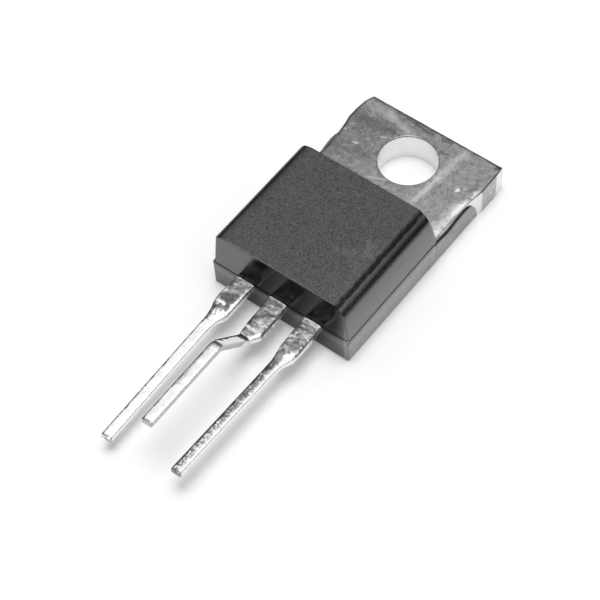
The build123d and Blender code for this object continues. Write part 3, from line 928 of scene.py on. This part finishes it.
NOTCH_DEPTH = 0.24 * MM      # how far the tab's sides draw in towards the body
RAIL_OVERLAP = 0.8 * MM      # how far a rail starts inside the block
RAIL_TOP = 1.82 * MM
RAIL_DIP, RAIL_DIP_Y, RAIL_DIP_LENGTH = 0.22 * MM, -2.7 * MM, 0.9 * MM
RAIL_SHOULDER_Y = -1.2 * MM
RAIL_OUTER_X = 5.03 * MM
RAIL_GAP = 0.10 * MM         # crack between a rail and the tab's side
RAIL_RAGGED = 0.035 * MM     # how much a rail's broken top goes up and down
RAIL_POWER = 0.3             # how square a rail's section is: 1 is round, and 0 is a rectangle


def rail_shell(side):
    """A rib beside the tab: a rounded rectangle carried along Y, as high as the rail is at each place.

    The top is level but for a dip like a bell curve, and falls as sqrt(1 - t^2.2) from the shoulder on.
    """
    end_y = BODY_HIGH.y
    y = np.concatenate([np.linspace(LOWER_FAR_Y - RAIL_OVERLAP, RAIL_SHOULDER_Y, 50),
                        end_y - (end_y - RAIL_SHOULDER_Y) * np.cos(np.linspace(0, math.pi / 2, 26)[1:])])
    y = np.unique(y)
    along = np.clip((y - RAIL_SHOULDER_Y) / (end_y - RAIL_SHOULDER_Y), 0, 1)
    dip = RAIL_DIP * np.exp(-((y - RAIL_DIP_Y) / RAIL_DIP_LENGTH) ** 2)
    ragged = layered_noise(np.stack([y, 0 * y + side * MM, 0 * y], axis=-1), 0.45 * MM, 7)
    top = (RAIL_TOP - dip) * np.sqrt(np.maximum(1 - along ** 2.2, 0.0004)) + RAIL_RAGGED * ragged
    top = np.maximum(top, 0.05 * MM)
    angle = np.linspace(0, 2 * math.pi, 28, endpoint=False)
    across, up = (signed_power(wave, RAIL_POWER) for wave in (np.cos(angle), np.sin(angle)))
    inner_x = FRAME_HIGH.x - NOTCH_DEPTH + RAIL_GAP
    x = (RAIL_OUTER_X + inner_x) / 2 + (RAIL_OUTER_X - inner_x) / 2 * across
    z = BOTTOM_GAP + (top[:, None] - BOTTOM_GAP) * (0.5 + 0.5 * up)[None, :]
    points = np.stack([np.broadcast_to(side * x, z.shape), np.broadcast_to(y[:, None], z.shape), z], axis=-1)
    return points if side < 0 else points[::-1]


# ---- Tab, die pad and leads --------------------------------------------------------

HOLE_RADIUS, HOLE_ROUND = 1.9 * MM, 0.05 * MM
NOTCH_START_Y, NOTCH_FULL_Y = 0.7 * MM, -1.2 * MM
PAD_HALF, PAD_NECK_Y, PAD_END_Y = 4.2 * MM, -4.9 * MM, -10.6 * MM
LOCK_STEP, LOCK_HEIGHT = 0.4 * MM, 0.6 * MM
# How far the cut at each corner of the free end goes across and along the tab, on the left and on the right.
TIE_CUTS = {-1: (0.34 * MM, 1.5 * MM), 1: (0.08 * MM, 0.8 * MM)}
FOOT_LEVELS = 0.008 * MM, 0.03 * MM     # rings just above the back, which keep the edge there sharp
ROLL_WANDER, ROLL_SEED = 0.02 * MM, 61  # how much the roll's reach varies along the edge


def side_outline(side):
    """One side of the tab and pad in plan, from the free end to the pad's end: cut, notch's arc and neck."""
    across, along = TIE_CUTS[side]
    half, end = FRAME_HIGH.x, FRAME_HIGH.y
    depth = NOTCH_DEPTH
    rise = NOTCH_START_Y - NOTCH_FULL_Y
    radius = (depth ** 2 + rise ** 2) / (2 * depth)
    climb = np.linspace(rise, 0, 14)
    arc_x = half - depth + radius - np.sqrt(radius ** 2 - climb ** 2)
    notch = np.stack([arc_x, NOTCH_FULL_Y + climb], axis=-1)
    corners = [[0, end], [half - across, end], [half - 0.3 * across, end - 0.4 * along], [half, end - along],
               *notch.tolist(), [half - depth, PAD_NECK_Y], [PAD_HALF, PAD_NECK_Y], [PAD_HALF, PAD_END_Y],
               [0, PAD_END_Y]]
    corners = np.array(corners)
    pieces = [run_points(a, b, 0.12 * MM) for a, b in zip(corners[:-1], corners[1:])]
    return np.concatenate(pieces) * [side, 1]


def edge_distance(points, outline):
    """Distance from each point to the nearest place on the closed outline, for all its segments at once."""
    start = outline[None, :, :]
    way = np.roll(outline, -1, axis=0)[None, :, :] - start
    gone = points[:, None, :] - start
    share = np.clip((gone * way).sum(axis=-1) / (way ** 2).sum(axis=-1), 0, 1)
    return np.linalg.norm(gone - way * share[..., None], axis=-1).min(axis=1)


def tab_shell(settings):
    """The tab and die pad: rings round the hole, up its wall, out over the front, down the side and back.

    Each ring is taken on the rays from the hole's axis to the points of the outline. In the body, the foot
    of the pad's side is cut away under a step, which locks the pad in the plastic.
    """
    left, right = side_outline(-1), side_outline(1)
    outline = np.concatenate([left, [[0, PAD_END_Y]], right[:0:-1]])
    reach = np.linalg.norm(outline, axis=1)
    direction = outline / reach[:, None]
    in_body = outline[:, 1] < PAD_NECK_Y + 0.01 * MM
    foot = outline.copy()
    on_pad_side = np.abs(foot[in_body, 0]) > PAD_HALF - 0.01 * MM
    foot[in_body, 0] -= LOCK_STEP * np.sign(foot[in_body, 0]) * on_pad_side
    foot[outline[:, 1] < PAD_END_Y + 0.01 * MM, 1] += LOCK_STEP
    rings = [raised(direction * HOLE_RADIUS, level)
             for level in (0.0, *FOOT_LEVELS, *np.linspace(0.4 * MM, FRAME_TOP - 0.06 * MM, 5))]
    hole_edge = HOLE_RADIUS + HOLE_ROUND
    for bend in np.linspace(0, math.pi / 2, 5):
        level = FRAME_TOP - HOLE_ROUND * (1 - math.sin(bend))
        ring = direction * (hole_edge - HOLE_ROUND * math.cos(bend))
        rings.append(raised(ring, level))
    # Rings across the roll, closer and closer towards the outline.
    offsets = np.array([0.55, 0.5, 0.45, 0.4, 0.35, 0.31, 0.27, 0.24, 0.21, 0.18, 0.155, 0.13, 0.105, 0.085,
                        0.065, 0.048, 0.033, 0.021, 0.012, 0.005, 0.0]) * MM
    spans = [hole_edge + (reach - offsets[0] - hole_edge) * share for share in np.linspace(0, 1, 40)[1:-1]]
    for radius in spans + [reach - offset for offset in offsets]:
        ring = direction * radius[:, None]
        rings.append(raised(ring, FRAME_TOP - edge_drop(ring, outline, settings)))
    side_top = rings[-1][:, 2]
    for share in np.linspace(0, 1, 9)[1:]:
        rings.append(raised(outline, side_top + (LOCK_HEIGHT - side_top) * share))
    for level in (LOCK_HEIGHT - 0.01 * MM, LOCK_HEIGHT / 2, *FOOT_LEVELS[::-1]):
        rings.append(raised(foot, level))
    back_inner = direction * HOLE_RADIUS
    for share in (0.998, 0.95, 0.75, 0.5, 0.25, 0.02):
        rings.append(raised(back_inner + (foot - back_inner) * share, 0.0))
    return np.stack(rings)


def edge_drop(points, outline, settings):
    """How far the tab's front lies under its middle, from the distance s to the outline.

    It is the ellipse d (1 - sqrt(1 - (1 - s / a)^2)) for s under a, where a and d are the roll's reach and
    drop. Along the notches the roll reaches further in.
    """
    in_notch = ease(points[:, 1], 0.9 * MM, -0.3 * MM)
    wander = ROLL_WANDER * layered_noise(raised(points, 0.0), 0.5 * MM, ROLL_SEED)
    across = settings.tab_round + wander + (settings.notch_round - settings.tab_round) * in_notch
    down = settings.tab_round * (1 - 0.35 * in_notch)
    lean = np.clip(1 - edge_distance(points, outline) / across, 0, 1)
    return down * (1 - np.sqrt(1 - lean ** 2))


def edge_lines(stations, y):
    """Left and right edge X at each Y, straight between stations (Y, left X, right X), corners softened."""
    table = np.array(stations, float)[::-1] * MM
    edges = []
    for column in (1, 2):
        line = np.interp(y, table[:, 0], table[:, column])
        padded = np.pad(line, 4, mode="edge")
        edges.append(np.convolve(padded, np.full(9, 1 / 9), mode="valid"))
    return edges


SECTION_POWER, DIP_SOFTENING = 9, 3.4   # exponent of the bare strip's section, and what solder takes off it
DIP_THICKENING = 0.3                    # share of the thickness that solder adds on the wide part
PATH_STEP, TIP_ROUND = 0.04 * MM, 0.02 * MM


def lead_shell(path, tangents, stations, seed, settings):
    """A lead: a superellipse section carried along its bent path, with the dip's lumps added outwards.

    The section is x = w/2 |cos|^(2/n), z = t/2 |sin|^(2/n). The exponent n is high for the bare strip at
    the body and falls where the solder rounds it. The lumps are strong on the wide part and fade on the
    narrow one.
    """
    y, z = path[:, 0], path[:, 1]
    left, right = edge_lines(stations, y)
    half, middle = (right - left) / 2, (right + left) / 2
    near = BODY_LOW.y
    dipped = ease(y, near - 0.1 * MM, near - 0.35 * MM)
    on_wide = ease(2 * half, settings.narrow_width + 0.05 * MM, settings.wide_width - 0.2 * MM)
    power = 2 / (SECTION_POWER - DIP_SOFTENING * dipped)
    thickness = settings.lead_thickness * (1 + DIP_THICKENING * dipped * on_wide)
    angle = np.linspace(0, 2 * math.pi, 64, endpoint=False)
    cosine, sine = np.cos(angle)[None, :], np.sin(angle)[None, :]
    across = signed_power(cosine, power[:, None]) * half[:, None]
    up = signed_power(sine, power[:, None]) * thickness[:, None] / 2
    up -= (thickness[:, None] - settings.lead_thickness) / 2
    normal = np.stack([tangents[:, 1], -tangents[:, 0]], axis=-1)
    points = np.stack([middle[:, None] + across, y[:, None] + normal[:, :1] * up,
                       z[:, None] + normal[:, 1:] * up], axis=-1)
    lumps = layered_noise(points, 0.5 * MM, seed, 3)
    fine = layered_noise(points, 0.17 * MM, seed + 20, 2)
    strength = dipped * (settings.narrow_lumps + (1 - settings.narrow_lumps) * on_wide)
    swell = settings.solder_lumps * strength[:, None] * (lumps + 0.4 * fine)
    outward = np.stack([cosine * np.ones_like(across), normal[:, :1] * sine, normal[:, 1:] * sine], axis=-1)
    return points + outward * swell[..., None]


# In millimetres: each path gives Y and Z of the lead's top face, the bends are its corners' radii, and each
# station gives Y, left X and right X. The seed is for the lead's lumps.
LEFT_LEAD = {
    "seed": 11,
    "path": [(-12.0, 2.05), (-14.2, 2.05), (-26.25, 1.5)],
    "bends": [8.0],
    "stations": [(-12.0, -3.26, -1.91), (-13.2, -3.26, -1.91), (-14.2, -3.36, -1.95), (-15.2, -3.32, -1.94),
                 (-15.7, -3.16, -1.95), (-16.35, -3.03, -2.24), (-17.0, -3.03, -2.33),
                 (-26.25, -3.04, -2.34)],
}
CENTRE_LEAD = {
    "seed": 31,
    "path": [(-12.0, 2.05), (-16.42, 2.05), (-18.77, 4.28), (-25.26, 4.2)],
    "bends": [0.5, 0.8],
    "stations": [(-12.0, -0.8, 0.52), (-13.2, -0.8, 0.52), (-14.2, -0.73, 0.6), (-15.3, -0.72, 0.6),
                 (-15.75, -0.66, 0.6), (-16.4, -0.57, 0.2), (-17.2, -0.57, 0.17), (-25.26, -0.58, 0.16)],
}
RIGHT_LEAD = {
    "seed": 52,
    "path": [(-12.0, 2.05), (-14.2, 2.05), (-25.97, 2.15)],
    "bends": [8.0],
    "stations": [(-12.0, 1.78, 3.08), (-13.2, 1.78, 3.08), (-14.2, 1.83, 3.12), (-15.3, 1.84, 3.14),
                 (-15.85, 1.92, 3.14), (-16.6, 2.08, 2.86), (-17.2, 2.09, 2.79), (-25.97, 1.95, 2.64)],
}


def lead_from(lead, settings):
    """A lead along its path, with its tip closed and softened."""
    half = settings.lead_thickness / 2
    corners = [(y * MM, z * MM - half) for y, z in lead["path"]]
    path, tangents = bent_path(corners, [radius * MM for radius in lead["bends"]], PATH_STEP)
    grid = lead_shell(path, tangents, lead["stations"], lead["seed"], settings)
    end = grid[-1]
    middle = end.mean(axis=0)
    back = np.array([0, tangents[-1, 0], tangents[-1, 1]]) * TIP_ROUND
    shrunk = np.stack([middle + (end - middle) * size for size in (0.97, 0.9, 0.5)])
    return np.concatenate([grid[:-1], [end - back], shrunk])


# ---- Operators ---------------------------------------------------------------------

class PACKAGE_OT_body(Operator):
    """Builds the moulded body"""
    bl_idname = "package.body"
    bl_label = "Moulded body"

    def execute(self, context):
        settings = context.scene.package_body
        parts = []
        add_shell(parts, body_shell(settings))
        for side in (-1, 1):
            add_shell(parts, rail_shell(side))
        make_piece("epoxy_body", parts, [epoxy_material(settings)], ["moulded_body"])
        return {"FINISHED"}


class PACKAGE_OT_tab(Operator):
    """Builds the tab, the die pad and the centre lead, which are one piece"""
    bl_idname = "package.tab"
    bl_label = "Tab and centre lead"

    def execute(self, context):
        settings = context.scene.package_frame
        parts = []
        add_shell(parts, tab_shell(settings), 0, closed_rows=True)
        add_shell(parts, lead_from(CENTRE_LEAD, settings), 1)
        make_piece("tab_with_centre_lead", parts, [tab_material(settings), solder_material(settings)],
                   ["tab_and_centre_lead"])
        return {"FINISHED"}


class PACKAGE_OT_leads(Operator):
    """Builds the two outer leads"""
    bl_idname = "package.leads"
    bl_label = "Outer leads"

    def execute(self, context):
        settings = context.scene.package_frame
        material = bpy.data.materials.get("solder_dip") or solder_material(settings)
        for node, lead in (("left_lead", LEFT_LEAD), ("right_lead", RIGHT_LEAD)):
            parts = []
            add_shell(parts, lead_from(lead, settings))
            make_piece(node + "_dipped", parts, [material], [node])
        return {"FINISHED"}


class PACKAGE_OT_inner(Operator):
    """Finishes the pieces sealed inside the body"""
    bl_idname = "package.inner"
    bl_label = "Die and wires"

    def execute(self, context):
        finishes = {
            "silicon_die": inner_material("sawn_silicon", (0.12, 0.12, 0.14), 0.6, 0.25),
            "die_solder": inner_material("soft_solder", (0.45, 0.45, 0.46), 1.0, 0.4),
            "left_bond_wire": inner_material("drawn_wire", (0.75, 0.75, 0.76), 1.0, 0.2),
        }
        finishes["right_bond_wire"] = finishes["left_bond_wire"]
        for node, material in finishes.items():
            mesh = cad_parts[node].data
            mesh.materials.clear()
            mesh.materials.append(material)
        return {"FINISHED"}


class PACKAGE_OT_stage(Operator):
    """Sets up the floor, the light and the camera"""
    bl_idname = "package.stage"
    bl_label = "Studio"

    def execute(self, context):
        settings = context.scene.package_stage
        make_floor(settings)
        make_sky(context.scene, settings)
        make_lamp(settings)
        make_camera(context.scene, settings)
        context.scene.view_settings.view_transform = "Standard"
        return {"FINISHED"}


# ---- Studio ------------------------------------------------------------------------

FLOOR_RADIUS, FLOOR_LEVEL = 2.0, -0.01 * MM     # just under the part, so that no two faces lie in one plane
FLOOR_GLOW = 0.16       # lifts the floor to white where it is seen directly, in a reflection or through glass


def make_floor(settings):
    """A large disc under the part, lifted to white but for the part's shadow."""
    turn = np.linspace(0, 2 * math.pi, 96, endpoint=False)
    ring = raised(FLOOR_RADIUS * np.stack([np.cos(turn), np.sin(turn)], axis=-1), FLOOR_LEVEL)
    mesh = bpy.data.meshes.new("floor")
    mesh.from_pydata(ring.tolist(), [], [list(range(len(ring)))])
    floor = bpy.data.objects.new("floor", mesh)
    bpy.context.scene.collection.objects.link(floor)
    material, nodes, shader = new_material("pale_floor")[:3]
    path = nodes.add("ShaderNodeLightPath")
    seen = nodes.highest(*(path.outputs[f"Is {kind} Ray"] for kind in ("Camera", "Glossy", "Transmission")))
    connect(nodes, shader, Base_Color=(*settings.floor, 1.0), Roughness=1.0, Specular_IOR_Level=0.0,
            Emission_Color=(1.0, 1.0, 1.0, 1.0), Emission_Strength=nodes.times(seen, FLOOR_GLOW))
    mesh.materials.append(material)


def make_sky(scene, settings):
    """The studio: bright overhead, dark near the horizon and behind the camera, which itself sees white."""
    world = bpy.data.worlds.new("studio")
    scene.world = world
    world.use_nodes = True
    world.node_tree.nodes.clear()
    nodes = Nodes(world.node_tree)
    along, up = nodes.split(nodes.add("ShaderNodeTexCoord").outputs["Generated"])[1:]
    behind_camera = nodes.ramp(along, -0.1, -0.42, 1.0, 0.03)
    level = nodes.times(nodes.ramp(up, 0.45, 0.75, 0.06, settings.sky_level), behind_camera)
    path = nodes.add("ShaderNodeLightPath")
    strength = nodes.mix_values(path.outputs["Is Camera Ray"], level, 1.0)
    background = nodes.add("ShaderNodeBackground", {"Color": (1.0, 1.0, 1.0, 1.0), "Strength": strength})
    output = nodes.add("ShaderNodeOutputWorld")
    world.node_tree.links.new(background.outputs[0], output.inputs["Surface"])


def make_lamp(settings):
    """A round lamp straight overhead."""
    light = bpy.data.lights.new("overhead_lamp", "AREA")
    light.shape = "DISK"
    light.size = settings.lamp_width
    light.energy = settings.lamp_power
    lamp = bpy.data.objects.new("overhead_lamp", light)
    lamp.location = (0.0, BODY_LOW.y, settings.lamp_height)
    bpy.context.scene.collection.objects.link(lamp)


LOOK_AT = Vector((-0.068, -11.106, -0.148)) * MM       # near the middle of the part, on the floor


def make_camera(scene, settings):
    """A camera that looks at LOOK_AT from the given azimuth, elevation and roll."""
    azimuth, elevation, roll = settings.azimuth, settings.elevation, settings.roll
    forward = Vector((-math.sin(azimuth) * math.cos(elevation), math.cos(azimuth) * math.cos(elevation),
                      -math.sin(elevation)))
    level = Vector((math.cos(azimuth), math.sin(azimuth), 0.0))
    above = level.cross(forward)
    right = math.cos(roll) * level + math.sin(roll) * above
    up = math.cos(roll) * above - math.sin(roll) * level
    camera = bpy.data.objects.new("camera", bpy.data.cameras.new("camera"))
    rotation = Matrix((right, up, -forward)).transposed()
    camera.matrix_world = Matrix.Translation(LOOK_AT - forward * settings.distance) @ rotation.to_4x4()
    camera.data.lens = settings.lens
    camera.data.sensor_width = 36.0
    camera.data.clip_start = 0.01
    camera.data.clip_end = 10.0
    scene.collection.objects.link(camera)
    scene.camera = camera


# ---- Panel and start ---------------------------------------------------------------

class PACKAGE_PT_panel(Panel):
    """Lists the pieces of the package"""
    bl_idname = "PACKAGE_PT_panel"
    bl_label = "Power package"
    bl_space_type = "VIEW_3D"
    bl_region_type = "UI"
    bl_category = "Package"

    def draw(self, context):
        for operator in OPERATORS:
            self.layout.operator(operator.bl_idname)
        for group in (context.scene.package_body, context.scene.package_frame, context.scene.package_stage):
            column = self.layout.column()
            for key in group.__annotations__:
                column.prop(group, key)


OPERATORS = (PACKAGE_OT_body, PACKAGE_OT_tab, PACKAGE_OT_leads, PACKAGE_OT_inner, PACKAGE_OT_stage)
CLASSES = (PackageBodySettings, PackageFrameSettings, PackageStageSettings, *OPERATORS, PACKAGE_PT_panel)
SETTINGS = {"package_body": PackageBodySettings, "package_frame": PackageFrameSettings,
            "package_stage": PackageStageSettings}


def register():
    """Adds the settings, the operators and the panel to Blender."""
    for item in CLASSES:
        bpy.utils.register_class(item)
    for name, group in SETTINGS.items():
        setattr(bpy.types.Scene, name, PointerProperty(type=group))


def unregister():
    """Takes them out again."""
    for name in SETTINGS:
        delattr(bpy.types.Scene, name)
    for item in reversed(CLASSES):
        bpy.utils.unregister_class(item)


def main():
    """Builds the pieces and the studio."""
    register()
    bpy.ops.package.body()
    bpy.ops.package.tab()
    bpy.ops.package.leads()
    bpy.ops.package.inner()
    bpy.ops.package.stage()


if __name__ == "__main__":
    main()
